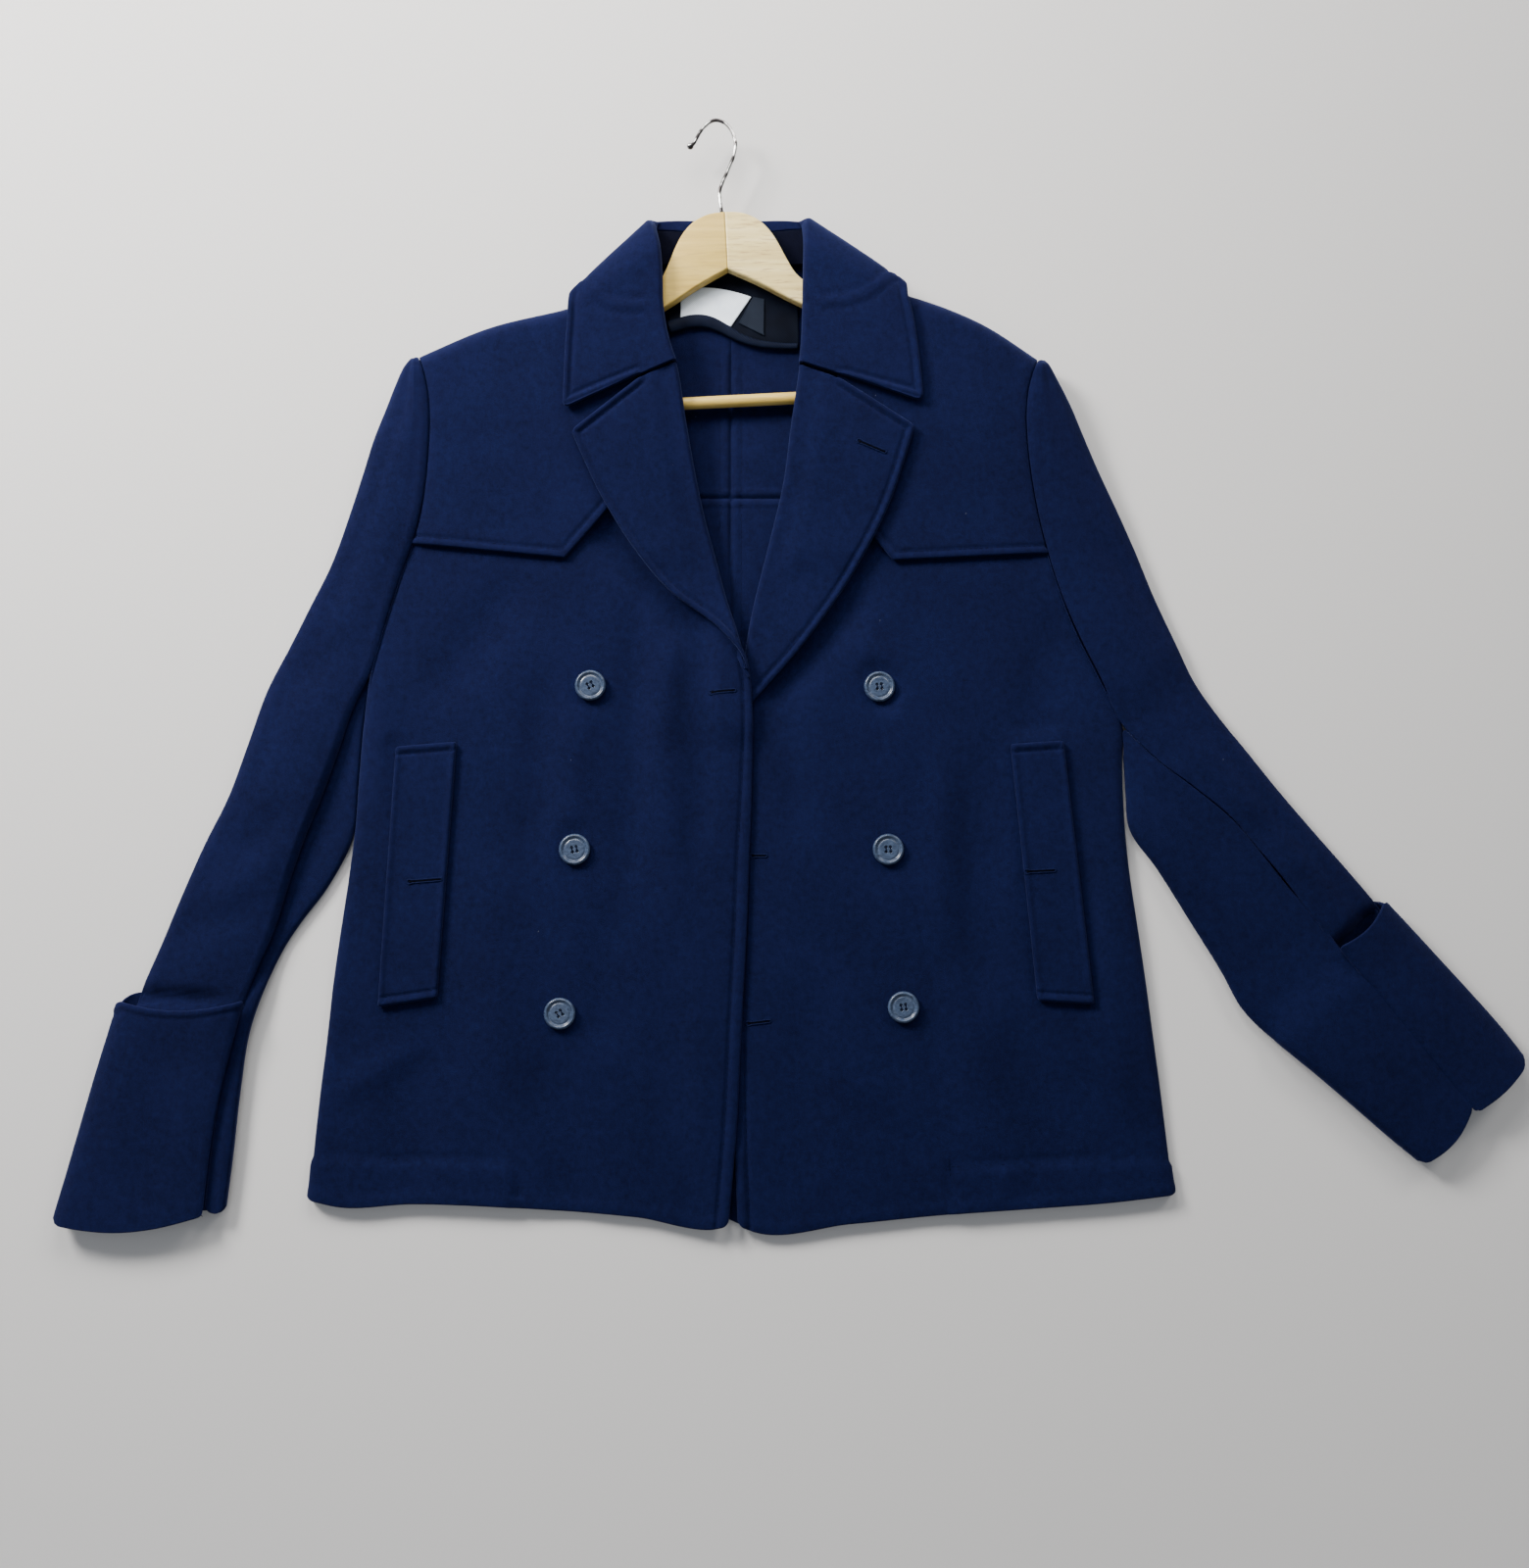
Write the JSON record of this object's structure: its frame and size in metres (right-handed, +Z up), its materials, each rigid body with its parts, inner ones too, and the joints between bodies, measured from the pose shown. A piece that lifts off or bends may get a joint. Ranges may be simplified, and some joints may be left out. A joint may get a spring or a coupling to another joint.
{
  "type": "pea coat on a clothes hanger",
  "caption": "Double-breasted wool pea coat laid flat on its back over a wooden hanger, with wide lapels, turned-back cuffs, slanted welt pockets and its sleeves spread.",
  "frame": {"origin": "middle of the box of the coat and its hanger, on the flat surface that it lies on", "axes": "+Z up from that surface through the coat's thickness; +Y from the hem to the collar and the hanger's hook; +X towards the wearer's left sleeve"},
  "size_m": [1.1568, 0.9173, 0.0355],
  "materials": {
    "melton": "dark navy melted wool, matt and slightly fuzzy, with lint",
    "button": "slate blue plastic with a soft gloss",
    "facing": "black-blue satin",
    "label": "bare white woven satin",
    "size_label": "bare dark grey woven tape",
    "wood": "clear lacquered beech",
    "steel": "bright steel wire"
  },
  "bodies": {
    "root": {"back_left": "melton", "back_right": "melton", "back_yoke_left": "melton", "back_yoke_right": "melton", "button_left_1": "button", "button_left_2": "button", "button_left_3": "button", "button_right_1": "button", "button_right_2": "button", "button_right_3": "button", "collar": "melton", "collar_stand": "melton", "cuff_left": "melton", "cuff_right": "melton", "front_left": "melton", "front_right": "melton", "hanger_arm_left": "wood", "hanger_arm_right": "wood", "hanger_bar": "wood", "hanger_hook": "steel", "lapel_left": "melton", "lapel_right": "melton", "neck_facing": "facing", "neck_label": "label", "size_label": "size_label", "sleeve_top_left": "melton", "sleeve_top_right": "melton", "sleeve_under_left": "melton", "sleeve_under_right": "melton", "storm_flap_left": "melton", "storm_flap_right": "melton", "welt_left": "melton", "welt_right": "melton"}
  },
  "joints": []
}
